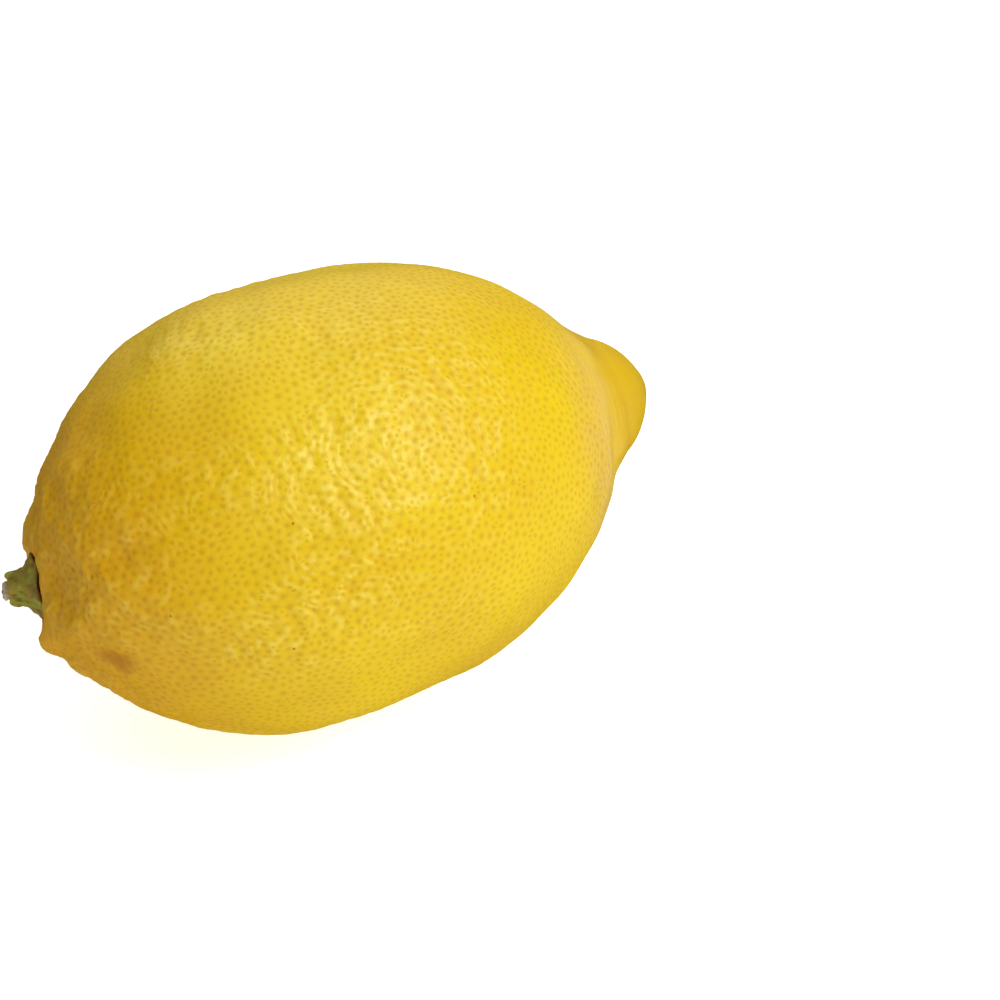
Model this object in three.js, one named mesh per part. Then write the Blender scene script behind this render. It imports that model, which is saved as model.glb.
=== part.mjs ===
// A whole lemon lying on its side: the fruit, the green button on its stem end and the dry stem stub.
// Millimetres, +Z up. +X runs along the fruit from the stem to the nipple, and the origin is on the
// flat spot underneath, below the centre of weight.

import * as THREE from 'three';
import { mergeVertices } from 'three/addons/utils/BufferGeometryUtils.js';

// Driving dimensions of the fruit. Places along the fruit count from its widest section.
const GIRTH_RADIUS = 32;
const STEM_SIDE = { length: 42.9, power: 2.365, root: 0.671 };
const NIPPLE_SIDE = { length: 48.3, power: 2.446, root: 0.605 };
const NIPPLE = { start: 37.9, tip: 54.1, radius: 11.8, root: 0.515, blend: 5.3 };
const FLAT_DEPTH = 0.3;
const WEIGHT_X = 2.8;

// The stem end leans out on one side. Both ends sit a little off the axis, away from a low side.
const LEAN = { turn: THREE.MathUtils.degToRad(167), slope: 0.226, reach: 13.3 };
const LOW_SIDE = THREE.MathUtils.degToRad(220);
const OFF_AXIS = { shoulder: 1.1, seat: 0.4, nipple: 0.7 };

// The stem end: a ring of rind stands round a shallow seat that takes the button.
const RIM_X = -40.9;
const SEAT = { radius: 5.3, floor: 1.05, edge: 1.5, softness: 0.5 };
const LIP = { radius: 8, height: 0.64, width: 2.1, lobes: 5, lobeHeight: 0.22 };
const STEM_FURROWS = { count: 9, depth: 0.34, from: 8, reach: 9 };

// The other end: the furrow at the nipple's foot, its creases and the scar on its tip.
const NECK = { x: 45.6, width: 1.7, depth: 0.1, creases: 13, creaseDepth: 0.14 };
const NECK_SIDE = { turn: THREE.MathUtils.degToRad(168), width: 0.75, depth: 0.9, back: 2.2 };
const TIP_SCAR = { radius: 1.5, depth: 0.55, rim: 0.22 };

// A healed pit in the rind, by its place along the fruit and its turn round it.
const PIT = { x: -33.5, turn: THREE.MathUtils.degToRad(179), radius: 2.2, height: -0.7 };

// Broad dents and swellings on both shoulders.
const SHOULDER_FORMS = [
  { x: -40.5, turn: LOW_SIDE, radius: 4, height: 0.45 },
  { x: -36, turn: LOW_SIDE, radius: 3.6, height: -0.2 },
  { x: -29, turn: LOW_SIDE, radius: 5, height: 0.5 },
  { x: -40.5, turn: THREE.MathUtils.degToRad(22), radius: 4, height: 0.5 },
  { x: -40.5, turn: THREE.MathUtils.degToRad(138), radius: 4.3, height: -1.7 },
  { x: 35.3, turn: THREE.MathUtils.degToRad(95), radius: 15.2, height: -0.48 },
];

// Uneven growth: waves of three lengths over the whole rind, and shorter ones near the stem.
// They die out round the flat spot.
const LUMPS = [
  { length: 34, height: 0.3, seed: 78 },
  { length: 14, height: 0.14, seed: 260 },
  { length: 8, height: 0.06, seed: 71 },
];
const STEM_LUMPS = { length: 9, height: 0.3, seed: 253, reach: 15 };
const CALM_RADIUS = 18;
const WAVES_PER_LUMP = 9;

// The button, as places along the fruit from the rim plane and radii, from its outer end inwards.
const CALYX_OUTLINE = [
  [-2.8, 0], [-2.8, 1.2], [-3.1, 1.5], [-3.6, 1.6], [-3.85, 1.85], [-3.7, 2.2], [-2.9, 2.5], [-2.1, 2.65],
  [-1.3, 3.0], [-0.5, 3.7], [0.0, 4.2], [0.35, 4.0], [0.6, 2.6], [0.65, 0],
];
const SEPALS = { count: 5, spread: 0.34, dip: 0.22 };
const CALYX_RIDGES = { count: 12, height: 0.12 };
const KNOB_LEAN = 0.1;

// The stem stub, its foot in the socket on top of the button.
const STUB_OUTLINE = [
  [-4.8, 0], [-4.75, 0.75], [-4.5, 1.2], [-3.9, 1.2], [-3.4, 1.0], [-3.15, 0.6], [-3.1, 0],
];
const STUB_TILT = { y: -0.25, z: -0.45 };
const STUB_RIDGES = { count: 7, height: 0.1 };

// Fineness of the nets of triangles: a detail of n gives 20 (n + 1) squared triangles.
const DETAIL = { rind: 23, calyx: 10, stub: 5 };
const OUTLINE_STEPS = 1600;

const FINISHES = {
  rind: { color: '#e3b920', roughness: 0.42, metalness: 0 },
  calyx: { color: '#7c711a', roughness: 0.75, metalness: 0 },
  stub: { color: '#a28d68', roughness: 0.9, metalness: 0 },
};

// Small helpers for formulas

const bell = (value, width) => Math.exp(-((value / width) ** 2));

// A power that keeps the sign, so that an outline may run a little past its end.
const signedPower = (value, power) => Math.sign(value) * Math.abs(value) ** power;

// The larger of two values, with the corner between them rounded over a width.
function softMax(a, b, width) {
  const overlap = Math.max(width - Math.abs(a - b), 0) / width;
  return Math.max(a, b) + (overlap * overlap * width) / 4;
}

function smoothStep(from, to, value) {
  const t = THREE.MathUtils.clamp((value - from) / (to - from), 0, 1);
  return t * t * (3 - 2 * t);
}

// The angle from one turn to another, between minus and plus half a turn.
const turnBetween = (turn, from) => Math.atan2(Math.sin(turn - from), Math.cos(turn - from));

// A repeatable draw between 0 and 1 for a whole number.
function draw(index) {
  const value = Math.sin(index * 12.9898 + 4.137) * 43758.5453;
  return value - Math.floor(value);
}

// A set of plane waves with drawn directions, whose sum swings about -1 to 1.
function makeWaves({ length, seed }) {
  const waves = [];
  for (let i = 0; i < WAVES_PER_LUMP; i += 1) {
    const rise = 2 * draw(seed + 3 * i) - 1;
    const turn = 2 * Math.PI * draw(seed + 3 * i + 1);
    const flat = Math.sqrt(1 - rise * rise);
    const direction = new THREE.Vector3(rise, flat * Math.cos(turn), flat * Math.sin(turn));
    direction.multiplyScalar((2 * Math.PI) / length);
    const phase = 2 * Math.PI * draw(seed + 3 * i + 2);
    waves.push({ direction, phase });
  }
  return (point) => {
    let sum = 0;
    for (const { direction, phase } of waves) sum += Math.sin(direction.dot(point) + phase);
    return sum * Math.sqrt(2 / WAVES_PER_LUMP);
  };
}

// Nets of triangles wrapped round the x axis

// Walks an outline of (x, r) pairs and keeps, at each step, how much of the whole skin lies before it.
function walkOutline(points, crowd) {
  const rows = [{ x: points[0].x, r: points[0].y, share: 0 }];
  for (let i = 1; i < points.length; i += 1) {
    const a = points[i - 1];
    const b = points[i];
    const ring = (a.y + b.y) * a.distanceTo(b) * crowd((a.x + b.x) / 2);
    rows.push({ x: b.x, r: b.y, share: rows[i - 1].share + ring });
  }
  const whole = rows[rows.length - 1].share;
  for (const row of rows) row.share /= whole;
  return rows;
}

// The place on the outline that has a given share of the skin before it, and the way out from it.
function findPlace(rows, share) {
  let low = 0;
  let high = rows.length - 1;
  while (high - low > 1) {
    const middle = (low + high) >> 1;
    if (rows[middle].share > share) high = middle;
    else low = middle;
  }
  const a = rows[low];
  const b = rows[high];
  const t = b.share > a.share ? (share - a.share) / (b.share - a.share) : 0;
  const length = Math.hypot(b.x - a.x, b.r - a.r);
  return {
    x: a.x + t * (b.x - a.x),
    r: a.r + t * (b.r - a.r),
    outX: -(b.r - a.r) / length,
    outR: (b.x - a.x) / length,
  };
}

// A closed skin: each corner of a fine icosahedron goes to its share of the outline, at its own turn
// round the axis, and shape(place, turn) gives its final point.
function wrapSkin(points, detail, crowd, shape) {
  const rows = walkOutline(points, crowd);
  const geometry = new THREE.IcosahedronGeometry(1, detail);
  geometry.deleteAttribute('normal');
  geometry.deleteAttribute('uv');
  const skin = mergeVertices(geometry, 1e-5);
  const corners = skin.getAttribute('position');
  const corner = new THREE.Vector3();
  for (let i = 0; i < corners.count; i += 1) {
    corner.fromBufferAttribute(corners, i).normalize();
    const place = findPlace(rows, (1 + corner.x) / 2);
    const point = shape(place, Math.atan2(corner.z, corner.y));
    corners.setXYZ(i, point.x, point.y, point.z);
  }
  skin.computeVertexNormals();
  return skin;
}

const evenly = () => 1;

// A smooth outline through a few chosen places.
function smoothOutline(places) {
  const curve = new THREE.SplineCurve(places.map(([x, r]) => new THREE.Vector2(x, r)));
  const points = curve.getPoints(400);
  for (const point of points) point.y = Math.max(point.y, 0);
  return points;
}

// The fruit

function rindRadius(x) {
  const side = x < 0 ? STEM_SIDE : NIPPLE_SIDE;
  const body = GIRTH_RADIUS * signedPower(1 - Math.abs(x / side.length) ** side.power, side.root);
  const along = (x - NIPPLE.start) / (NIPPLE.tip - NIPPLE.start);
  const nipple = NIPPLE.radius * signedPower(1 - along * along, NIPPLE.root);
  return Math.max(softMax(body, nipple, NIPPLE.blend), 0);
}

function rindOutline() {
  const points = [];
  const span = NIPPLE.tip + STEM_SIDE.length;
  for (let i = 0; i <= OUTLINE_STEPS; i += 1) {
    const x = -STEM_SIDE.length + (span * (1 - Math.cos((Math.PI * i) / OUTLINE_STEPS))) / 2;
    points.push(new THREE.Vector2(x, rindRadius(x)));
  }
  return points;
}

// More triangles near both ends, where the fine shapes are.
const rindCrowd = (x) => 1 + 2.2 * bell(x + STEM_SIDE.length, 7) + 1.4 * bell(x - NECK.x, 7);

const lumpWaves = LUMPS.map((lump) => ({ height: lump.height, wave: makeWaves(lump) }));
const stemWaves = makeWaves(STEM_LUMPS);
const REST_POINT = new THREE.Vector3(WEIGHT_X, 0, -GIRTH_RADIUS);

function lumps(point) {
  let sum = 0;
  for (const { height, wave } of lumpWaves) sum += height * wave(point);
  sum *= 1 - bell(point.distanceTo(REST_POINT), CALM_RADIUS);
  const nearStem = bell(point.x + STEM_SIDE.length, STEM_LUMPS.reach);
  return sum + STEM_LUMPS.height * nearStem * stemWaves(point);
}

// The raised ring round the seat, in uneven lobes.
function lip(x, r, turn) {
  if (x > 0) return 0;
  const lobes = Math.cos(LIP.lobes * turn + 0.8) + 0.6 * Math.cos((LIP.lobes + 3) * turn + 2.1);
  return bell(r - LIP.radius, LIP.width) * (LIP.height + LIP.lobeHeight * lobes);
}

// Shallow furrows that fan out from the stem over the shoulder.
function stemFurrows(x, r, turn) {
  if (x > 0) return 0;
  const { count, depth, from, reach } = STEM_FURROWS;
  const fade = smoothStep(from - 3, from, r) * bell(r - from, reach);
  const wander = 0.5 * Math.sin(3 * turn + 0.4) + 0.3 * Math.sin(2 * turn + r / 4);
  return -depth * fade * (0.5 + 0.5 * Math.cos(count * turn + wander * 2)) ** 2;
}

// The furrow at the nipple's foot, deeper and further back on one side, with creases across it.
function neckFurrow(x, turn) {
  const side = bell(turnBetween(turn, NECK_SIDE.turn), NECK_SIDE.width);
  const away = x - NECK.x + NECK_SIDE.back * side;
  const ring = bell(away, NECK.width) * (NECK.depth + NECK_SIDE.depth * side);
  const wander = 0.7 * Math.sin(2 * turn + 1.3) + 0.4 * Math.sin(5 * turn);
  const crease = (0.5 + 0.5 * Math.cos(NECK.creases * turn + wander)) ** 3;
  return -ring - NECK.creaseDepth * crease * bell(away, 2.4 * NECK.width);
}

// A small dimple with a raised rim on the tip of the nipple.
function tipScar(x, r) {
  if (x < NIPPLE.start) return 0;
  return TIP_SCAR.rim * bell(r - 1.6 * TIP_SCAR.radius, 0.8) - TIP_SCAR.depth * bell(r, TIP_SCAR.radius);
}

// A round dent or swelling at a place along the fruit and a turn round it.
function roundForm(form, x, r, turn) {
  const round = turnBetween(turn, form.turn) * r;
  return form.height * bell(Math.hypot(x - form.x, round), form.radius);
}

function roundForms(x, r, turn) {
  let sum = roundForm(PIT, x, r, turn);
  for (const form of SHOULDER_FORMS) sum += roundForm(form, x, r, turn);
  return sum;
}

// The seat for the button: a flat floor that rises to the ring of rind round it.
function pressSeat(x, r) {
  if (x > RIM_X + 6) return x;
  const floor = RIM_X + SEAT.floor;
  const face = floor - 4 * smoothStep(SEAT.radius - 0.3, SEAT.radius + SEAT.edge * 2, r);
  return softMax(x, face, SEAT.softness);
}

function rindPoint(place, turn) {
  const base = new THREE.Vector3(place.x, place.r * Math.cos(turn), place.r * Math.sin(turn));
  let rise = lumps(base) + roundForms(place.x, place.r, turn);
  rise += lip(place.x, place.r, turn) + stemFurrows(place.x, place.r, turn);
  rise += neckFurrow(place.x, turn) + tipScar(place.x, place.r);
  const r = Math.max(place.r + rise * place.outR, 0);
  const risen = place.x + rise * place.outX;
  const fade = bell(place.x + STEM_SIDE.length, LEAN.reach);
  const lean = LEAN.slope * r * Math.cos(turn - LEAN.turn) * fade;
  const x = pressSeat(risen, r) - lean;
  const stemShift = THREE.MathUtils.lerp(OFF_AXIS.seat, OFF_AXIS.shoulder, smoothStep(5, 11, r)) * fade;
  const shift = stemShift + OFF_AXIS.nipple * smoothStep(NIPPLE.start, NECK.x + 2, place.x);
  const y = r * Math.cos(turn) - shift * Math.cos(LOW_SIDE);
  const z = r * Math.sin(turn) - shift * Math.sin(LOW_SIDE) + GIRTH_RADIUS - FLAT_DEPTH;
  return new THREE.Vector3(x - WEIGHT_X, y, Math.max(z, 0));
}

function makeRind() {
  return wrapSkin(rindOutline(), DETAIL.rind, rindCrowd, rindPoint);
}

// The button: a ridged knob on five sepals

function calyxPoint(place, turn) {
  const skirt = smoothStep(-2.2, -0.3, place.x) * smoothStep(1.4, 3.4, place.r);
  const sepal = Math.cos(SEPALS.count * turn + 0.6 * Math.sin(turn));
  const ridge = Math.cos(CALYX_RIDGES.count * turn + 2 * Math.sin(2 * turn));
  const grow = skirt * SEPALS.spread * sepal + CALYX_RIDGES.height * ridge * smoothStep(1.6, 2.4, place.r);
  const r = place.r + grow;
  const x = place.x - skirt * SEPALS.dip * sepal;
  return placeOnStem(x, r, turn);
}

// Turns a place counted from the rim plane into a point of the whole. The plane leans with the stem
// end, and what stands out from it bends away from the low side.
function placeOnStem(x, r, turn) {
  const bend = OFF_AXIS.seat + KNOB_LEAN * Math.max(-x, 0);
  const y = r * Math.cos(turn) - bend * Math.cos(LOW_SIDE) + LEAN.slope * x * Math.cos(LEAN.turn);
  const z = r * Math.sin(turn) - bend * Math.sin(LOW_SIDE) + LEAN.slope * x * Math.sin(LEAN.turn);
  const lean = LEAN.slope * r * Math.cos(turn - LEAN.turn);
  return new THREE.Vector3(x - lean + RIM_X - WEIGHT_X, y, z + GIRTH_RADIUS - FLAT_DEPTH);
}

function makeCalyx() {
  return wrapSkin(smoothOutline(CALYX_OUTLINE), DETAIL.calyx, evenly, calyxPoint);
}

// The dry stub of the stem, a little bent

function stubPoint(place, turn) {
  const ridge = Math.cos(STUB_RIDGES.count * turn) + 0.7 * Math.cos(3 * turn + 1);
  const point = placeOnStem(place.x, place.r * (1 + STUB_RIDGES.height * ridge), turn);
  const out = Math.max(-4 - place.x, 0);
  point.y += STUB_TILT.y * out;
  point.z += STUB_TILT.z * out;
  return point;
}

function makeStub() {
  return wrapSkin(smoothOutline(STUB_OUTLINE), DETAIL.stub, evenly, stubPoint);
}

// The whole object

function piece(name, geometry, finish) {
  const mesh = new THREE.Mesh(geometry, new THREE.MeshStandardMaterial(finish));
  mesh.name = name;
  return mesh;
}

const lemon = new THREE.Group();
lemon.name = 'lemon';
lemon.add(piece('rind', makeRind(), FINISHES.rind));
lemon.add(piece('calyx', makeCalyx(), FINISHES.calyx));
lemon.add(piece('stem_stub', makeStub(), FINISHES.stub));

export default lemon;
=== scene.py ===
"""The looks of a whole lemon that lies on its side: the rind, the green button and the dry stem stub.

Shapes are worked out in millimetres and go into the meshes in metres. +X runs along the fruit from the
stem to the nipple, +Z is up, and the origin lies on the flat spot underneath.
"""

import logging
from dataclasses import dataclass, field
from enum import Enum
import bpy
import numpy as np
from mathutils import Matrix, Vector
from mathutils.geometry import delaunay_2d_cdt


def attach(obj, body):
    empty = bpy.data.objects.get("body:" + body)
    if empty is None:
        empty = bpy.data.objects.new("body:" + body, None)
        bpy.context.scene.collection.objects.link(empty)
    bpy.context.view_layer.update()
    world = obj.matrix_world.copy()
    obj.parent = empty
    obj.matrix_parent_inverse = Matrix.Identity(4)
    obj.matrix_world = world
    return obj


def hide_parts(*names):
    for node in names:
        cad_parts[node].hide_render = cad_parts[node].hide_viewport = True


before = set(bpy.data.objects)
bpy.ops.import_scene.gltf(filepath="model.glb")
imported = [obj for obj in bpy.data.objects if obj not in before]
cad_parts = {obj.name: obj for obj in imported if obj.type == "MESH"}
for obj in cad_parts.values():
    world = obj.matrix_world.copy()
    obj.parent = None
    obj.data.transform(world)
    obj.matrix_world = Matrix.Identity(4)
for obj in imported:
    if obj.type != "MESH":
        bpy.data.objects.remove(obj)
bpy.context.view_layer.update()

log = logging.getLogger("lemon")
Array = np.ndarray
Link = bpy.types.NodeSocket
MM = 0.001


# Formulas


def bell(value: Array, width: float) -> Array:
    """Bell curve exp(-(value / width) squared)."""
    return np.exp(-((value / width) ** 2))


def signed_power(value: Array, power: float) -> Array:
    """A power of the size of value, with the sign of value kept."""
    return np.sign(value) * np.abs(value) ** power


def smooth_step(start: float, end: float, value: Array) -> Array:
    """0 before start, 1 after end, and 3 t squared minus 2 t cubed between them."""
    t = np.clip((value - start) / (end - start), 0.0, 1.0)
    return t * t * (3.0 - 2.0 * t)


def soft_max(a: Array, b: Array, width: float) -> Array:
    """The larger of two values, with the corner between them rounded.

    Args:
        a: First values.
        b: Second values.
        width: How far apart they are where the rounding ends.

    Returns:
        The larger value plus a quarter of width times the square of the overlap.
    """
    overlap = np.maximum(width - np.abs(a - b), 0.0) / width
    return np.maximum(a, b) + overlap * overlap * width / 4.0


def turn_between(turn: Array, start: float) -> Array:
    """The angle from start to turn, between minus and plus half a turn."""
    return np.arctan2(np.sin(turn - start), np.cos(turn - start))


def draw(index: Array) -> Array:
    """A repeatable draw between 0 and 1: the fraction of 43758.5453 sin(12.9898 index + 4.137)."""
    value = np.sin(index * 12.9898 + 4.137) * 43758.5453
    return value - np.floor(value)


@dataclass(frozen=True)
class Waves:
    """Plane waves of one length in drawn directions, whose sum swings about -1 to 1.

    With lengthwise above 0 more of them run along the fruit, and below 0 more of them run across it.
    """

    length: float
    seed: int
    count: int = 9
    lengthwise: float = 0.0

    def at(self, points: Array) -> Array:
        """Adds the waves up.

        Args:
            points: Points in mm, one a row.

        Returns:
            The sum of sin(direction dot point + phase), times the root of 2 / count.
        """
        first = self.seed + 3 * np.arange(self.count)
        rise = 2.0 * draw(first) - 1.0
        rise = np.sign(rise) * np.abs(rise) ** (1.0 - self.lengthwise)
        turn = 2.0 * np.pi * draw(first + 1)
        flat = np.sqrt(1.0 - rise * rise)
        ways = np.stack([rise, flat * np.cos(turn), flat * np.sin(turn)], axis=1)
        phase = 2.0 * np.pi * draw(first + 2)
        swing = np.sin(points @ (ways.T * (2.0 * np.pi / self.length)) + phase)
        return swing.sum(axis=1) * np.sqrt(2.0 / self.count)


Swells = tuple[tuple[float, Waves], ...]


def swell(swells: Swells, points: Array) -> Array:
    """The sum of several waves, each times its own height."""
    return sum(height * waves.at(points) for height, waves in swells)


@dataclass
class Place:
    """Places on an outline: x, radius, and the way out of the skin in the plane of the outline."""

    x: Array
    r: Array
    out_x: Array
    out_r: Array

    def turned(self, turn: Array) -> Array:
        """The places turned round the x axis, as points, one a row."""
        return np.stack([self.x, self.r * np.cos(turn), self.r * np.sin(turn)], axis=1)


class Outline:
    """A section from one pole to the other, turned round the x axis to make a skin."""

    def __init__(self, x: Array, r: Array) -> None:
        """Measures the outline.

        Args:
            x: Places along the axis.
            r: Radius at each of them, nothing at both ends.
        """
        step = np.hypot(np.diff(x), np.diff(r))
        ring = (r[1:] + r[:-1]) * step
        middle = np.maximum((r[1:] + r[:-1]) / 2.0, 1e-9)
        self.x, self.r = x, r
        self.run = np.concatenate([[0.0], np.cumsum(step)])
        self.share = np.concatenate([[0.0], np.cumsum(ring)]) / ring.sum()
        self.stretch = np.concatenate([[0.0], np.cumsum(step / middle)])
        self.area = np.pi * ring.sum()
        length = np.gradient(self.run)
        self.out_x = -np.gradient(r) / length
        self.out_r = np.gradient(x) / length

    def at(self, wanted: Array, measure: Array) -> Place:
        """The places where a measure taken along the outline has the wanted values."""
        values = (self.x, self.r, self.out_x, self.out_r)
        return Place(*(np.interp(wanted, measure, value) for value in values))

    def at_share(self, share: Array) -> Place:
        """The places that have a given share of the skin's area before them."""
        return self.at(share, self.share)

    def at_run(self, run: Array) -> Place:
        """The places at a given distance along the outline."""
        return self.at(run, self.run)


# Meshes


def make_piece(name: str, points: Array, faces: Array) -> bpy.types.Object:
    """Makes a smooth piece that rides on the fruit's only body.

    Args:
        name: Name of the piece and of its mesh.
        points: Corners in mm, one a row.
        faces: Corner numbers, one face a row.

    Returns:
        The object, linked into the scene.
    """
    mesh = bpy.data.meshes.new(name)
    mesh.from_pydata((points * MM).tolist(), [], faces.tolist())
    mesh.polygons.foreach_set("use_smooth", np.ones(len(faces), dtype=bool))
    mesh.validate()
    mesh.update()
    piece = bpy.data.objects.new(name, mesh)
    bpy.context.scene.collection.objects.link(piece)
    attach(piece, "root")
    return piece


def add_values(piece: bpy.types.Object, named: dict[str, Array]) -> None:
    """Gives each corner of a piece values that its material can read.

    Args:
        piece: The piece.
        named: One value a corner, by the attribute's name.
    """
    for name, values in named.items():
        attribute = piece.data.attributes.new(name, "FLOAT", "POINT")
        attribute.data.foreach_set("value", values.astype(np.float32))


def closed_net(rows: int, columns: int) -> tuple[Array, Array, Array]:
    """A net over share and turn with one corner at each pole.

    Args:
        rows: Bands between the poles.
        columns: Faces round each band.

    Returns:
        The share and the turn of each corner, and the triangles, which close the net at both poles.
    """
    spread = (1.0 - np.cos(np.pi * np.arange(1, rows) / rows)) / 2.0
    share = np.concatenate([[0.0], np.repeat(spread, columns), [1.0]])
    around = np.tile(np.arange(columns), rows - 1) * 2.0 * np.pi / columns
    turn = np.concatenate([[0.0], around, [0.0]])
    ring = np.arange(columns)
    after = (ring + 1) % columns
    band = 1 + np.arange(rows - 2)[:, None] * columns
    low_a, low_b = band + ring, band + after
    high_a, high_b = low_a + columns, low_b + columns
    first = np.stack([low_a, high_b, low_b], axis=-1).reshape(-1, 3)
    second = np.stack([low_a, high_a, high_b], axis=-1).reshape(-1, 3)
    last = (rows - 1) * columns + 1
    start = np.stack([np.zeros_like(ring), 1 + ring, 1 + after], axis=1)
    end = np.stack([np.full_like(ring, last), last - columns + after, last - columns + ring], axis=1)
    return share, turn, np.concatenate([start, first, second, end])


def face_out(points: Array, faces: Array) -> Array:
    """Turns the faces round where the shape they close would have a negative volume."""
    a, b, c = (points[faces[:, i]] for i in range(3))
    volume = np.einsum("ij,ij->i", a, np.cross(b, c)).sum()
    return faces if volume > 0 else faces[:, ::-1]


# The fruit's form


@dataclass(frozen=True)
class Side:
    """One side of the body: radius = girth (1 - |x / length| to the power) to the root."""

    length: float
    power: float
    root: float


@dataclass(frozen=True)
class RoundForm:
    """A round dent or swelling at a place along the fruit and a turn round it."""

    x: float
    turn: float
    radius: float
    height: float

    def rise(self, x: Array, r: Array, turn: Array) -> Array:
        """A bell of the distance over the skin from the middle of the form."""
        round_way = turn_between(turn, np.radians(self.turn)) * r
        return self.height * bell(np.hypot(x - self.x, round_way), self.radius)


@dataclass(frozen=True)
class FruitForm:
    """The form of the fruit in mm. Places along it count from its widest section."""

    girth: float = 32.0
    stem_side: Side = Side(42.9, 2.365, 0.671)
    nipple_side: Side = Side(48.3, 2.446, 0.605)
    nipple_start: float = 37.9
    nipple_tip: float = 54.1
    nipple_radius: float = 11.8
    nipple_root: float = 0.515
    nipple_blend: float = 5.3
    flat_depth: float = 0.3
    weight_x: float = 2.8
    lean_turn: float = 167.0
    lean_slope: float = 0.226
    lean_reach: float = 13.3
    low_side: float = 220.0
    off_shoulder: float = 1.1
    off_seat: float = 0.4
    off_nipple: float = 0.7
    rim_x: float = -40.9
    seat_radius: float = 5.3
    seat_floor: float = 1.05
    lip_radius: float = 8.0
    furrows: int = 9
    furrow_depth: float = 0.34
    neck_x: float = 45.6
    neck_width: float = 1.7
    neck_turn: float = 168.0
    pit: RoundForm = RoundForm(-33.5, 179.0, 2.2, -0.7)
    shoulder_forms: tuple[RoundForm, ...] = (
        RoundForm(-40.5, 220.0, 4.0, 0.45),
        RoundForm(-36.0, 220.0, 3.6, -0.2),
        RoundForm(-29.0, 220.0, 5.0, 0.5),
        RoundForm(-40.5, 22.0, 4.0, 0.5),
        RoundForm(-40.5, 138.0, 4.3, -1.7),
        RoundForm(35.3, 95.0, 15.2, -0.48),
    )
    calm_radius: float = 18.0
    lump_swells: Swells = ((0.3, Waves(34, 78)), (0.14, Waves(14, 260)), (0.06, Waves(8, 71)))
    stem_lump: float = 0.3
    stem_lump_reach: float = 15.0
    stem_waves: Waves = Waves(9, 253)
    lip_width: float = 2.1
    lip_height: float = 0.64
    lip_swing: float = 0.22
    furrow_reach: float = 9.0
    neck_spread: float = 0.75
    neck_offset: float = 2.2
    neck_plain_depth: float = 0.1
    neck_creases: int = 13
    neck_crease_depth: float = 0.14
    scar_radius: float = 2.4
    scar_height: float = 0.22
    scar_depth: float = 0.55
    outline_steps: int = 1600

    def outline(self) -> Outline:
        """The section: the body's two sides, with the nipple softly joined on."""
        step = np.arange(self.outline_steps + 1) / self.outline_steps
        length = self.stem_side.length
        x = -length + (self.nipple_tip + length) * (1.0 - np.cos(np.pi * step)) / 2.0
        stem, tip = self.stem_side, self.nipple_side
        left = signed_power(1.0 - np.abs(x / stem.length) ** stem.power, stem.root)
        right = signed_power(1.0 - np.abs(x / tip.length) ** tip.power, tip.root)
        body = self.girth * np.where(x < 0, left, right)
        along = (x - self.nipple_start) / (self.nipple_tip - self.nipple_start)
        nipple = self.nipple_radius * signed_power(1.0 - along * along, self.nipple_root)
        return Outline(x, np.maximum(soft_max(body, nipple, self.nipple_blend), 0.0))

    def lumps(self, base: Array) -> Array:
        """Uneven growth: waves of three lengths, calm round the flat spot, and more at the stem."""
        rest = np.array([self.weight_x, 0.0, -self.girth])
        calm = 1.0 - bell(np.linalg.norm(base - rest, axis=1), self.calm_radius)
        at_stem = bell(base[:, 0] + self.stem_side.length, self.stem_lump_reach)
        return swell(self.lump_swells, base) * calm + self.stem_lump * at_stem * self.stem_waves.at(base)

    def lip(self, x: Array, r: Array, turn: Array) -> Array:
        """The raised ring round the seat: a bell of the radius, in uneven lobes round the turn."""
        lobes = np.cos(5 * turn + 0.8) + 0.6 * np.cos(8 * turn + 2.1)
        ring = bell(r - self.lip_radius, self.lip_width) * (self.lip_height + self.lip_swing * lobes)
        return np.where(x < 0, ring, 0.0)

    def stem_furrows(self, x: Array, r: Array, turn: Array) -> Array:
        """Furrows that fan out from the stem: a squared cosine of the turn, with a wander."""
        fade = smooth_step(5.0, self.lip_radius, r) * bell(r - self.lip_radius, self.furrow_reach)
        wander = 0.5 * np.sin(3 * turn + 0.4) + 0.3 * np.sin(2 * turn + r / 4)
        wave = (0.5 + 0.5 * np.cos(self.furrows * turn + wander * 2)) ** 2
        return np.where(x > 0, 0.0, -self.furrow_depth * fade * wave)

    def neck_place(self, x: Array, turn: Array) -> tuple[Array, Array]:
        """The way along from the furrow at the nipple's foot, and how near its deep side a place is."""
        side = bell(turn_between(turn, np.radians(self.neck_turn)), self.neck_spread)
        return x - self.neck_x + self.neck_offset * side, side

    def neck_furrow(self, x: Array, turn: Array) -> Array:
        """The furrow at the nipple's foot, a bell along the fruit, with creases that cross it."""
        away, side = self.neck_place(x, turn)
        plain = self.neck_plain_depth
        ring = bell(away, self.neck_width) * (plain + (1.0 - plain) * side)
        wander = 0.7 * np.sin(2 * turn + 1.3) + 0.4 * np.sin(5 * turn)
        crease = (0.5 + 0.5 * np.cos(self.neck_creases * turn + wander)) ** 3
        return -ring - self.neck_crease_depth * crease * bell(away, 2.4 * self.neck_width)

    def tip_scar(self, x: Array, r: Array) -> Array:
        """A dimple with a raised rim on the tip of the nipple."""
        scar = self.scar_height * bell(r - self.scar_radius, 0.8) - self.scar_depth * bell(r, 1.5)
        return np.where(x < self.nipple_start, 0.0, scar)

    def press_seat(self, x: Array, r: Array) -> Array:
        """A flat floor for the button, which rises to the ring of rind round it."""
        edge = smooth_step(self.seat_radius - 0.3, self.seat_radius + 3.0, r)
        face = self.rim_x + self.seat_floor - 4.0 * edge
        return np.where(x > self.rim_x + 6.0, x, soft_max(x, face, 0.5))

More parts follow.
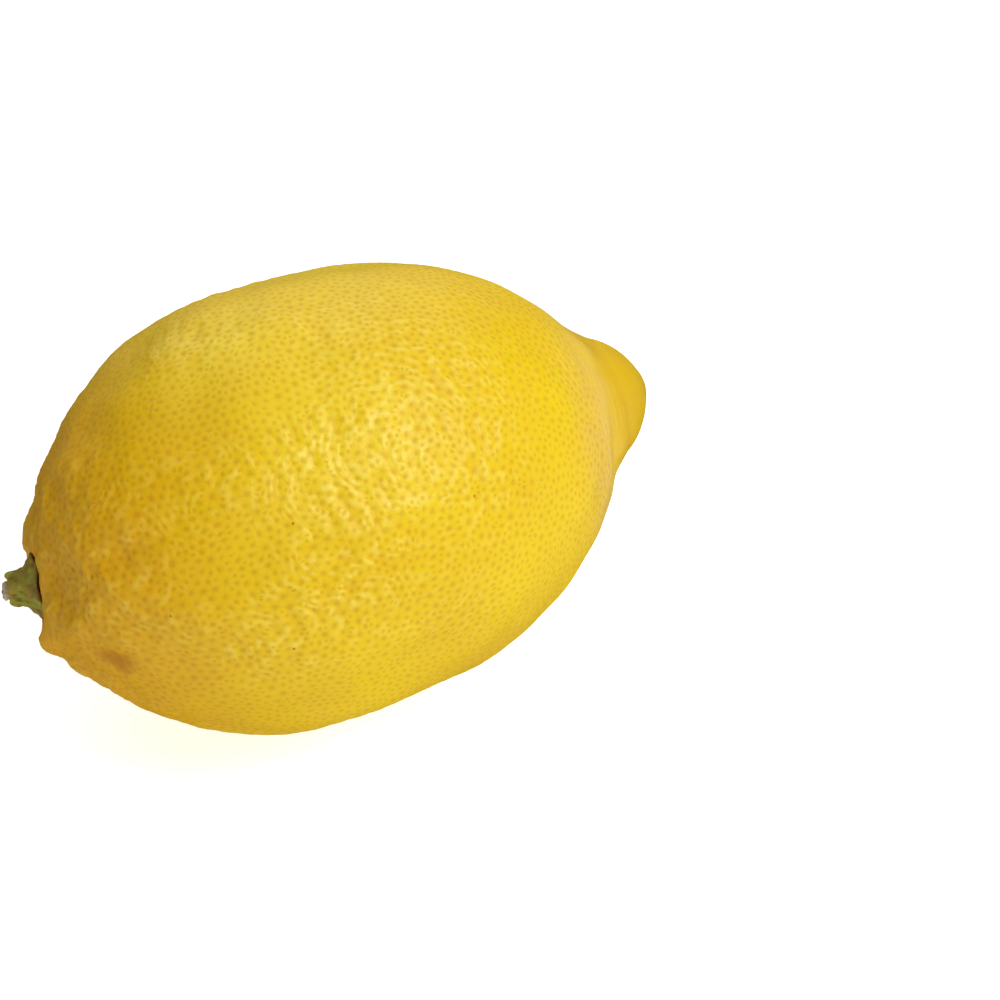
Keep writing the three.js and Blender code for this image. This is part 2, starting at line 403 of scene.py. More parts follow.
    def points(self, place: Place, turn: Array, fine: Array | float = 0.0) -> Array:
        """The fruit's skin.

        Args:
            place: Places on the outline.
            turn: The turn round the axis at each of them.
            fine: Fine relief to add along the way out of the skin.

        Returns:
            Points in mm: the outline turned round the axis, raised by the lumps, furrows, scars and
            dents along the way out, with the stem end leant over and both ends moved off the axis.
        """
        base = place.turned(turn)
        rise = self.lumps(base) + self.lip(place.x, place.r, turn) + fine
        rise = rise + self.stem_furrows(place.x, place.r, turn) + self.neck_furrow(place.x, turn)
        rise = rise + self.tip_scar(place.x, place.r)
        for form in (self.pit, *self.shoulder_forms):
            rise = rise + form.rise(place.x, place.r, turn)
        r = np.maximum(place.r + rise * place.out_r, 0.0)
        fade = bell(place.x + self.stem_side.length, self.lean_reach)
        lean = self.lean_slope * r * np.cos(turn - np.radians(self.lean_turn)) * fade
        x = self.press_seat(place.x + rise * place.out_x, r) - lean
        stem_shift = self.off_seat + (self.off_shoulder - self.off_seat) * smooth_step(5.0, 11.0, r)
        tip_shift = smooth_step(self.nipple_start, self.neck_x + 2.0, place.x)
        shift = stem_shift * fade + self.off_nipple * tip_shift
        low = np.radians(self.low_side)
        y = r * np.cos(turn) - shift * np.cos(low)
        z = r * np.sin(turn) - shift * np.sin(low) + self.girth - self.flat_depth
        return np.stack([x - self.weight_x, y, np.maximum(z, 0.0)], axis=1)

    def spot(self, x: float, turn: float) -> Vector:
        """The point on the skin, in metres, at a place along the fruit and a turn in degrees."""
        outline = self.outline()
        run = np.interp([x], outline.x, outline.run)
        point = self.points(outline.at_run(run), np.radians(np.array([turn])))[0]
        return Vector(point * MM)

    def on_stem(self, x: Array, r: Array, turn: Array) -> Array:
        """Turns places counted from the rim plane into points of the fruit.

        Args:
            x: Places along the stem, outwards negative.
            r: Radius round the stem.
            turn: Turn round the stem.

        Returns:
            Points in mm. The plane leans with the stem end, and what stands out bends off the low side.
        """
        bend = self.off_seat + 0.1 * np.maximum(-x, 0.0)
        low, lean = np.radians(self.low_side), np.radians(self.lean_turn)
        y = r * np.cos(turn) - bend * np.cos(low) + self.lean_slope * x * np.cos(lean)
        z = r * np.sin(turn) - bend * np.sin(low) + self.lean_slope * x * np.sin(lean)
        along = x - self.lean_slope * r * np.cos(turn - lean) + self.rim_x - self.weight_x
        return np.stack([along, y, z + self.girth - self.flat_depth], axis=1)


# Node graphs


class Graph:
    """A node tree that is written from its inputs to its output."""

    def __init__(self, tree: bpy.types.NodeTree) -> None:
        """Takes the tree that the nodes go into."""
        self.tree = tree

    def add(self, kind: str, inputs: dict | None = None, **settings: object) -> bpy.types.Node:
        """Adds a node.

        Args:
            kind: The node's type name, without its ShaderNode prefix.
            inputs: A socket to link or a value to set, by the input's name or number.
            settings: Properties of the node.

        Returns:
            The node.
        """
        node = self.tree.nodes.new("ShaderNode" + kind)
        for name, value in settings.items():
            setattr(node, name, value)
        return self.fill(node, inputs or {})

    def fill(self, node: bpy.types.Node, inputs: dict) -> bpy.types.Node:
        """Links or sets a node's inputs, by name or number, and returns the node."""
        for name, value in inputs.items():
            if isinstance(value, Link):
                self.tree.links.new(value, node.inputs[name])
            else:
                node.inputs[name].default_value = value
        return node

    def maths(self, operation: str, *values: object) -> Link:
        """A Math node's result."""
        return self.add("Math", dict(enumerate(values)), operation=operation).outputs[0]

    def mix(self, factor: object, a: object, b: object, blend: str = "MIX") -> Link:
        """A colour mixed from a and b by factor."""
        inputs = {0: factor, 6: a, 7: b}
        return self.add("Mix", inputs, data_type="RGBA", blend_type=blend).outputs[2]

    def remap(
        self, value: object, low: float, high: float, to_low: float = 0.0, to_high: float = 1.0
    ) -> Link:
        """A value mapped smoothly from one range to another, and held at its ends."""
        inputs = {0: value, 1: low, 2: high, 3: to_low, 4: to_high}
        return self.add("MapRange", inputs, interpolation_type="SMOOTHSTEP").outputs[0]

    def noise(self, place: object, scale: float, detail: float = 2.0, rough: float = 0.5) -> Link:
        """Noise about 0.5 at a place, with scale in waves to the metre."""
        inputs = {"Vector": place, "Scale": scale, "Detail": detail, "Roughness": rough}
        return self.add("TexNoise", inputs).outputs[0]

    def ridge(self, noise: Link, width: float) -> Link:
        """1 where noise crosses its middle, falling to 0 where it is a width away from it."""
        away = self.maths("ABSOLUTE", self.maths("SUBTRACT", noise, 0.5))
        return self.remap(away, 0.0, width, 1.0, 0.0)

    def value(self, name: str) -> Link:
        """A value that the piece carries at its corners."""
        return self.add("Attribute", attribute_name=name).outputs["Fac"]

    def place(self) -> Link:
        """Object coordinates, in metres."""
        return self.add("TexCoord").outputs["Object"]

    def group(self, tree: bpy.types.NodeTree, inputs: dict) -> bpy.types.Node:
        """A shared group, placed with its own values."""
        node = self.tree.nodes.new("ShaderNodeGroup")
        node.node_tree = tree
        return self.fill(node, inputs)


class Socket(Enum):
    """Kinds of socket that a shared group may have."""

    VALUE = "NodeSocketFloat"
    COLOUR = "NodeSocketColor"
    VECTOR = "NodeSocketVector"


def new_group(
    name: str, inputs: dict[str, Socket], outputs: dict[str, Socket]
) -> tuple[Graph, bpy.types.Node, bpy.types.Node]:
    """Starts a shared node group.

    Args:
        name: Its name.
        inputs: Kind of each input, by name.
        outputs: Kind of each output, by name.

    Returns:
        The graph, the node that gives its inputs and the node that takes its outputs.
    """
    tree = bpy.data.node_groups.new(name, "ShaderNodeTree")
    for label, kind in inputs.items():
        tree.interface.new_socket(label, in_out="INPUT", socket_type=kind.value)
    for label, kind in outputs.items():
        tree.interface.new_socket(label, in_out="OUTPUT", socket_type=kind.value)
    source = tree.nodes.new("NodeGroupInput")
    result = tree.nodes.new("NodeGroupOutput")
    return Graph(tree), source, result


class SharedEffects:
    """Node groups that more than one material or mark uses."""

    def __init__(self) -> None:
        """Builds the groups."""
        self.mottle = self.make_mottle()
        self.mark = self.make_mark()
        self.grain = self.make_grain()

    def make_mottle(self) -> bpy.types.NodeTree:
        """A colour that drifts between two tones over patches of a given size.

        Returns:
            The group: factor = noise at 1 / patch, stretched about its middle by the contrast.
        """
        inputs = {"Place": Socket.VECTOR, "Patch": Socket.VALUE, "Contrast": Socket.VALUE}
        inputs |= {"Tone": Socket.COLOUR, "Other tone": Socket.COLOUR}
        graph, source, result = new_group("Mottle", inputs, {"Colour": Socket.COLOUR})
        scale = graph.maths("DIVIDE", 1.0, source.outputs["Patch"])
        noise = graph.noise(source.outputs["Place"], scale, 3.0, 0.55)
        swing = graph.maths("MULTIPLY", graph.maths("SUBTRACT", noise, 0.5), source.outputs["Contrast"])
        mask = graph.add("Clamp", {0: graph.maths("ADD", swing, 0.5)}).outputs[0]
        colour = graph.mix(mask, source.outputs["Tone"], source.outputs["Other tone"])
        graph.fill(result, {"Colour": colour})
        return graph.tree

    def make_mark(self) -> bpy.types.NodeTree:
        """A soft mark at a place, with an uneven edge, either filled or made of thin scratches.

        Returns:
            The group: mask = 1 inside the radius, fading to 0 at 1.5 times it, wavered by noise. With
            Scratched at 1 only the places where finer noise crosses its middle are left.
        """
        inputs = {"Place": Socket.VECTOR, "Centre": Socket.VECTOR}
        inputs |= {"Radius": Socket.VALUE, "Strength": Socket.VALUE, "Scratched": Socket.VALUE}
        graph, source, result = new_group("Mark", inputs, {"Mask": Socket.VALUE})
        ends = {0: source.outputs["Place"], 1: source.outputs["Centre"]}
        away = graph.add("VectorMath", ends, operation="DISTANCE").outputs["Value"]
        scale = graph.maths("DIVIDE", 0.7, source.outputs["Radius"])
        waver = graph.maths("SUBTRACT", graph.noise(source.outputs["Place"], scale, 2.0), 0.5)
        share = graph.maths("DIVIDE", away, source.outputs["Radius"])
        edge = graph.maths("MULTIPLY_ADD", waver, 1.3, share)
        mask = graph.remap(edge, 0.35, 1.5, 1.0, 0.0)
        mask = graph.maths("MULTIPLY", mask, source.outputs["Strength"])
        scratch = graph.ridge(graph.noise(source.outputs["Place"], 760.0, 1.0), 0.04)
        gap = graph.maths("MULTIPLY", graph.maths("SUBTRACT", 1.0, scratch), source.outputs["Scratched"])
        mask = graph.maths("MULTIPLY", mask, graph.maths("SUBTRACT", 1.0, gap))
        graph.fill(result, {"Mask": mask})
        return graph.tree

    def make_grain(self) -> bpy.types.NodeTree:
        """Fine unevenness of a dry or waxy skin.

        Returns:
            The group: height = noise of a given size plus a third of noise three times finer.
        """
        inputs = {"Place": Socket.VECTOR, "Size": Socket.VALUE}
        graph, source, result = new_group("Grain", inputs, {"Height": Socket.VALUE})
        scale = graph.maths("DIVIDE", 1.0, source.outputs["Size"])
        broad = graph.noise(source.outputs["Place"], scale, 2.0)
        fine = graph.noise(source.outputs["Place"], graph.maths("MULTIPLY", scale, 3.1), 1.0)
        height = graph.maths("MULTIPLY_ADD", fine, 0.33, broad)
        graph.fill(result, {"Height": height})
        return graph.tree


def tone(hex_code: str) -> tuple[float, float, float, float]:
    """A colour written as six hex digits, as linear red, green, blue and alpha."""
    parts = np.array([int(hex_code[i : i + 2], 16) for i in (0, 2, 4)]) / 255.0
    linear = np.where(parts <= 0.04045, parts / 12.92, ((parts + 0.055) / 1.055) ** 2.4)
    return (*linear.tolist(), 1.0)


def new_material(
    name: str, shader: dict[str, object]
) -> tuple[bpy.types.Material, Graph, bpy.types.Node]:
    """Starts a material on a Principled shader with fixed values on its own sockets.

    Args:
        name: Name of the material.
        shader: Values by socket name.

    Returns:
        The material, its graph and its shader.
    """
    material = bpy.data.materials.new(name)
    material.use_nodes = True
    principled = material.node_tree.nodes["Principled BSDF"]
    for socket, value in shader.items():
        principled.inputs[socket].default_value = value
    return material, Graph(material.node_tree), principled


# Finishes


@dataclass(frozen=True)
class Mottling:
    """A drift between two tones: the size of its patches in metres, and its contrast."""

    patch: float
    contrast: float

    def colour(self, graph: Graph, effects: SharedEffects, place: Link, first: str, second: str) -> Link:
        """The colour that drifts between two tones, given as hex codes."""
        inputs = {"Place": place, "Patch": self.patch, "Contrast": self.contrast}
        inputs |= {"Tone": tone(first), "Other tone": tone(second)}
        return graph.group(effects.mottle, inputs).outputs["Colour"]


@dataclass(frozen=True)
class Grain:
    """Fine unevenness of a skin: its size in metres, its strength, and its height in metres."""

    size: float
    strength: float
    height: float

    def normal(self, graph: Graph, effects: SharedEffects, place: Link) -> Link:
        """The normal that the grain gives the skin."""
        grain = graph.group(effects.grain, {"Place": place, "Size": self.size}).outputs["Height"]
        inputs = {"Strength": self.strength, "Distance": self.height, "Height": grain}
        return graph.add("Bump", inputs).outputs[0]


class MarkKind(Enum):
    """Kinds of mark on the rind: colour, radius in mm, strength, and 1 where it is only scratches."""

    SPECK = ("8a4f10", 0.2, 0.8, 0.0)
    SCUFF = ("b8763c", 1.1, 0.7, 1.0)
    BLUSH = ("d08a52", 0.45, 0.6, 0.0)
    PIT = ("c27a00", 2.2, 0.75, 0.0)


@dataclass(frozen=True)
class RindFinish:
    """Waxy yellow rind with darker oil pores."""

    yellow: str = "f3d409"
    warm: str = "e9c106"
    # Riper orange towards the stem, partly the fruit's own colour and partly painted shade on that side;
    # also the painted shade in the hollows.
    ripe_and_shade: str = "df9e00"
    # Pale: colour of the painted highlight on the crests and the fine ridges.
    pale: str = "fde866"
    pore: str = "e8d148"
    stem: str = "d6a208"
    neck: str = "ecc468"
    golden: str = "dcb012"
    # Brown: painted shade in the ring under the button.
    brown: str = "8c5f1c"
    roughness: float = 0.36
    pore_roughness: float = 0.3
    mottling: Mottling = Mottling(0.022, 2.2)
    grain: Grain = Grain(0.00045, 0.35, 0.0001)
    # Shares of painted highlight on the crests and on the fine ridges, and of painted shade in the
    # hollows.
    painted_highlight_crests: float = 0.3
    painted_highlight_ridges: float = 0.5
    shade_in_hollows: float = 0.25
    pore_strength: float = 0.68
    tan_scale: float = 260.0
    tan_share: tuple[float, float] = (0.45, 0.8)
    ridge_bump: float = 0.00005
    crease_scale: float = 620.0
    crease_width: float = 0.16
    crease_bump: float = 0.00012
    marks: tuple[tuple[MarkKind, float, float], ...] = (
        (MarkKind.SPECK, -10.6, 137.0),
        (MarkKind.SPECK, -27.2, 155.0),
        (MarkKind.SPECK, -14.3, 170.0),
        (MarkKind.SPECK, 14.6, 145.0),
        (MarkKind.SCUFF, -31.4, 111.0),
        (MarkKind.SCUFF, -21.2, 91.0),
        (MarkKind.SCUFF, -37.1, 80.0),
        (MarkKind.BLUSH, -38.4, 157.0),
        (MarkKind.BLUSH, -39.5, 179.0),
        (MarkKind.PIT, -33.5, 179.0),
    )

    def material(self, effects: SharedEffects, form: FruitForm) -> bpy.types.Material:
        """Builds the material.

        Args:
            effects: The shared node groups.
            form: The fruit's form, which gives the marks their places.

        Returns:
            The material.
        """
        fixed = {"Specular IOR Level": 0.38, "Subsurface Weight": 0.15, "Subsurface Scale": 0.001}
        fixed["Subsurface Radius"] = (1.0, 0.55, 0.12)
        material, graph, shader = new_material("waxy_rind", fixed)
        place = graph.place()
        ridges = self.ridges(graph)
        colour = self.colour(graph, effects, place, ridges)
        for kind, x, turn in self.marks:
            code, radius, strength, scratched = kind.value
            inputs = {"Place": place, "Centre": form.spot(x, turn), "Radius": radius * MM}
            inputs |= {"Strength": strength, "Scratched": scratched}
            mask = graph.group(effects.mark, inputs).outputs["Mask"]
            colour = graph.mix(mask, colour, tone(code))
        dull = self.dullness(graph, place)
        normal = self.fine_relief(graph, effects, place, ridges)
        graph.fill(shader, {"Base Color": colour, "Roughness": dull, "Normal": normal})
        return material

    @staticmethod
    def ridges(graph: Graph) -> Link:
        """Where the fine ridges are, 0 to 1: the sine of the ring, weighted as in the mesh."""
        wave = graph.maths("SINE", graph.maths("MULTIPLY", graph.value("ring"), 2.0 * np.pi))
        return graph.maths("MULTIPLY", graph.remap(wave, -1.0, 1.0), graph.value("ridge"))

    def colour(self, graph: Graph, effects: SharedEffects, place: Link, ridges: Link) -> Link:
        """Yellow that drifts warmer and riper towards the stem, partly as painted shade, with painted
        highlight on crests and ridges, painted shade in the hollows and under the button, and darker
        pores.

        Args:
            graph: The material's graph.
            effects: The shared node groups.
            place: Object coordinates.
            ridges: Where the fine ridges are.

        Returns:
            The colour.
        """
        base = self.mottling.colour(graph, effects, place, self.yellow, self.warm)
        # Riper towards the stem: partly the fruit's own colour, partly painted shade.
        base = graph.mix(graph.value("ripe_and_shade"), base, tone(self.ripe_and_shade))
        relief = graph.value("relief")
        # Painted highlight: pale on the crests of the relief and on the fine ridges.
        base = graph.mix(graph.remap(relief, 0.5, 1.0, 0.0, self.painted_highlight_crests), base, tone(self.pale))
        base = graph.mix(graph.maths("MULTIPLY", ridges, self.painted_highlight_ridges), base, tone(self.pale))
        # Painted shade: darker orange in the hollows of the relief.
        base = graph.mix(graph.remap(relief, 0.5, 0.0, 0.0, self.shade_in_hollows), base, tone(self.ripe_and_shade))
        tan = graph.remap(graph.noise(place, self.tan_scale, 3.0), 0.35, 0.65, *self.tan_share)
        base = graph.mix(graph.maths("MULTIPLY", graph.value("stem"), tan), base, tone(self.stem))
        base = graph.mix(graph.maths("MULTIPLY", graph.value("neck"), tan), base, tone(self.neck))
        base = graph.mix(graph.value("tip"), base, tone(self.golden))
        pore = graph.remap(graph.value("pore"), 0.06, 0.8, 0.0, self.pore_strength)
        base = graph.mix(pore, base, tone(self.pore), "MULTIPLY")
        # Painted shade: brown in the ring under the button, at the gap between the parts.
        return graph.mix(graph.value("seat_shade"), base, tone(self.brown))

    def fine_relief(self, graph: Graph, effects: SharedEffects, place: Link, ridges: Link) -> Link:
        """Bumps finer than the mesh: grain, the fine ridges, and creases that run round the neck.

        Args:
            graph: The material's graph.
            effects: The shared node groups.
            place: Object coordinates.
            ridges: Where the fine ridges are.

        Returns:
            The normal.
        """
        normal = self.grain.normal(graph, effects, place)
        inputs = {"Distance": self.ridge_bump, "Height": ridges, "Normal": normal}
        normal = graph.add("Bump", inputs).outputs[0]
        inputs = {0: place, 1: (1.0, 0.16, 0.16)}
        stretched = graph.add("VectorMath", inputs, operation="MULTIPLY").outputs[0]
        crease = graph.ridge(graph.noise(stretched, self.crease_scale, 1.0), self.crease_width)
        crease = graph.maths("MULTIPLY", crease, graph.value("crease"))
        inputs = {"Distance": self.crease_bump, "Height": crease, "Normal": normal}
        return graph.add("Bump", inputs).outputs[0]

    def dullness(self, graph: Graph, place: Link) -> Link:
        """Roughness that drifts a little from patch to patch and is higher in the pores."""
        low, high = self.roughness - 0.05, self.roughness + 0.07
        drift = graph.remap(graph.noise(place, 90.0, 2.0), 0.3, 0.7, low, high)
        return graph.maths("MULTIPLY_ADD", graph.value("pore"), self.pore_roughness, drift)


@dataclass(frozen=True)
class ButtonFinish:
    """Dry olive green skin with lighter patches of painted highlight, brown towards its edge, partly
    painted shade where it meets the fruit, and painted shade in its hollows.
    """

    green: str = "857a26"
    olive: str = "a38c36"
    # Colour of the painted highlight, laid in patches by noise.
    highlight_green: str = "9a9a34"
    # Brown: dry at the rim, and painted shade where the button meets the fruit and in its hollows.
    brown: str = "6e4c1c"
    mottling: Mottling = Mottling(0.0022, 3.0)
    grain: Grain = Grain(0.0004, 0.6, 0.00015)

    def material(self, effects: SharedEffects) -> bpy.types.Material:
        """Builds the material.

        Args:
            effects: The shared node groups.

        Returns:
            The material.
        """
        fixed = {"Roughness": 0.72, "Specular IOR Level": 0.3}
        material, graph, shader = new_material("dry_button", fixed)
        place = graph.place()
        colour = self.mottling.colour(graph, effects, place, self.green, self.olive)
        # Painted highlight: lighter green patches placed by noise.
        patch = graph.remap(graph.noise(place, 330.0, 2.0), 0.48, 0.6)
        colour = graph.mix(patch, colour, tone(self.highlight_green))
        # Brown towards the edge, partly a dry rim and partly painted shade where the button meets the
        # fruit, and painted shade in the hollows.
        edge = graph.maths("MAXIMUM", graph.value("edge"), graph.value("hollow_shade"))
        colour = graph.mix(edge, colour, tone(self.brown))
        graph.fill(shader, {"Base Color": colour, "Normal": self.grain.normal(graph, effects, place)})
        return material


@dataclass(frozen=True)
class StubFinish:
    """Weathered stem wood, grey-beige, with painted shade in the sunk middle of its broken face."""

    wood: str = "cdb899"
    grey: str = "a5967c"
    # Painted shade for the sunk middle of the broken face.
    pit_shade: str = "3f2f1c"
    mottling: Mottling = Mottling(0.0008, 3.5)
    grain: Grain = Grain(0.00022, 0.7, 0.00012)

    def material(self, effects: SharedEffects) -> bpy.types.Material:
        """Builds the material.

        Args:
            effects: The shared node groups.

        Returns:
            The material.
        """
        fixed = {"Roughness": 0.85, "Specular IOR Level": 0.25}
        material, graph, shader = new_material("dry_stub", fixed)
        place = graph.place()
        colour = self.mottling.colour(graph, effects, place, self.wood, self.grey)
        # Painted shade: dark in the sunk middle of the broken face.
        colour = graph.mix(graph.value("sunk_pit"), colour, tone(self.pit_shade))
        graph.fill(shader, {"Base Color": colour, "Normal": self.grain.normal(graph, effects, place)})
        return material


# The rind


@dataclass
class PoreNet:
    """Oil pores spread evenly over the skin, each in the middle of its own cell of small triangles."""

    count: int = 10300
    jitter: float = 0.36
    rounds: int = 2
    depth: float = 0.1
    ring: float = 0.34
    seed: int = 5

    def plane(self, outline: Outline, run: Array, turn: Array) -> list[tuple[float, float]]:
        """Lays the skin on a plane, angles kept: radius = e to the run over the ring's radius."""
        away = np.interp(run, outline.run, outline.stretch)
        away = np.exp(away - outline.stretch[len(outline.stretch) // 2])
        away[run <= 0.0] = 0.0
        return list(zip((away * np.cos(turn)).tolist(), (away * np.sin(turn)).tolist()))

    def join(self, outline: Outline, run: Array, turn: Array) -> Array:
        """Joins neighbouring pores by triangles.

        Args:
            outline: The fruit's section.
            run: Distance of each pore along the outline. The first is on the nipple's pole.
            turn: Turn of each pore.

        Returns:
            Triangles that close the whole skin: those of the plane, and a fan to the nipple's pole.
        """
        found = delaunay_2d_cdt(self.plane(outline, run[1:], turn[1:]), [], [], 0, 1e-9)
        order = np.array([origin[0] for origin in found[3]]) + 1
        faces = order[np.array(found[2])]
        start = np.concatenate([faces[:, 0], faces[:, 1], faces[:, 2]])
        end = np.concatenate([faces[:, 1], faces[:, 2], faces[:, 0]])
        total = len(run)
        open_edge = ~np.isin(start * total + end, end * total + start)
        fan = np.stack([end[open_edge], start[open_edge], np.zeros(open_edge.sum(), int)], axis=1)
        return np.concatenate([faces, fan])

    def relax(self, outline: Outline, run: Array, turn: Array, faces: Array) -> tuple[Array, Array]:
        """Moves each pore halfway to the middle of its neighbours, along the skin."""
        place = outline.at_run(run)
        base = place.turned(turn)
        start, end = faces.ravel(), faces[:, [1, 2, 0]].ravel()
        near = np.bincount(start, minlength=len(run))[:, None]
        middle = np.stack([np.bincount(start, base[end, i], len(run)) for i in range(3)], axis=1) / near
        moved = base + 0.5 * (middle - base)
        reach = np.hypot(moved[:, 1], moved[:, 2])
        step = (moved[:, 0] - place.x) * place.out_r - (reach - place.r) * place.out_x
        new_run = np.clip(run + step, 0.2, outline.run[-1] - 0.2)
        new_turn = np.arctan2(moved[:, 2], moved[:, 1])
        new_run[[0, -1]] = run[[0, -1]]
        return new_run, new_turn

    def spread(self, outline: Outline) -> tuple[Array, Array, Array]:
        """Spreads the pores.

        Args:
            outline: The fruit's section.

        Returns:
            Run and turn of each pore, and the triangles between them. A spiral by the golden angle
            gives each the same area, a seeded jitter loosens it and a few rounds even it out.
        """
        index = np.arange(self.count)
        draws = np.random.default_rng(self.seed).normal(size=(2, self.count))
        space = np.sqrt(outline.area / self.count)
        run = np.interp(1.0 - (index + 0.5) / self.count, outline.share, outline.run)
        ring = np.maximum(outline.at_run(run).r, space)
        run = np.clip(run + self.jitter * space * draws[0], 0.3, outline.run[-1] - 0.3)
        turn = index * np.pi * (3.0 - np.sqrt(5.0)) + self.jitter * space * draws[1] / ring
        run[0], run[-1] = outline.run[-1], 0.0
        for _ in range(self.rounds):
            run, turn = self.relax(outline, run, turn, self.join(outline, run, turn))
        return run, turn, self.join(outline, run, turn)

    def cells(self, outline: Outline) -> tuple[Array, Array, Array, Array]:
        """Splits each triangle between three pores into nine.

        Args:
            outline: The fruit's section.

        Returns:
            Share of the skin and turn of each corner, how much of a pore it is (1 in the middle), and
            the triangles. Corners between pores are means of their directions on a sphere of equal area.
        """
        run, turn, faces = self.spread(outline)
        rise = 2.0 * np.interp(run, outline.run, outline.share) - 1.0
        flat = np.sqrt(np.maximum(1.0 - rise * rise, 0.0))
        pores = np.stack([rise, flat * np.cos(turn), flat * np.sin(turn)], axis=1)
        total = len(pores)
        a, b = faces, faces[:, [1, 2, 0]]
        key = np.minimum(a, b) * total + np.maximum(a, b)
        keys, edge = np.unique(key.ravel(), return_inverse=True)
        low, high = keys // total, keys % total
        edge = edge.reshape(a.shape)
        swapped = (a > b).astype(int)
        near_a = total + 2 * edge + swapped
        near_b = total + 2 * edge + 1 - swapped
        middle = total + 2 * len(keys) + np.arange(len(faces))
        thirds = np.stack([2 * pores[low] + pores[high], pores[low] + 2 * pores[high]], axis=1)
        ways = np.concatenate([pores, thirds.reshape(-1, 3), pores[faces].sum(axis=1)])
        ways /= np.linalg.norm(ways, axis=1)[:, None]
        size = 0.7 + 0.4 * draw(np.arange(total) + 0.5)
        rings = self.ring * np.stack([size[low], size[high]], axis=1).ravel()
        pore = np.concatenate([size, rings, np.zeros(len(faces))])
        parts = self.nine(faces, near_a, near_b, middle)
        return (1.0 + ways[:, 0]) / 2.0, np.arctan2(ways[:, 2], ways[:, 1]), pore, parts

    @staticmethod
    def nine(faces: Array, near_a: Array, near_b: Array, middle: Array) -> Array:
        """The nine triangles of each face, from its corners, the thirds of its sides and its middle."""
        a, b, c = faces.T
        ab, bc, ca = near_a.T
        ba, cb, ac = near_b.T
        m = middle
        rows = [(a, ab, ac), (ab, ba, m), (ab, m, ac), (ac, m, ca), (ba, b, bc)]
        rows += [(ba, bc, m), (m, bc, cb), (m, cb, ca), (ca, cb, c)]
        return np.concatenate([np.stack(row, axis=1) for row in rows])


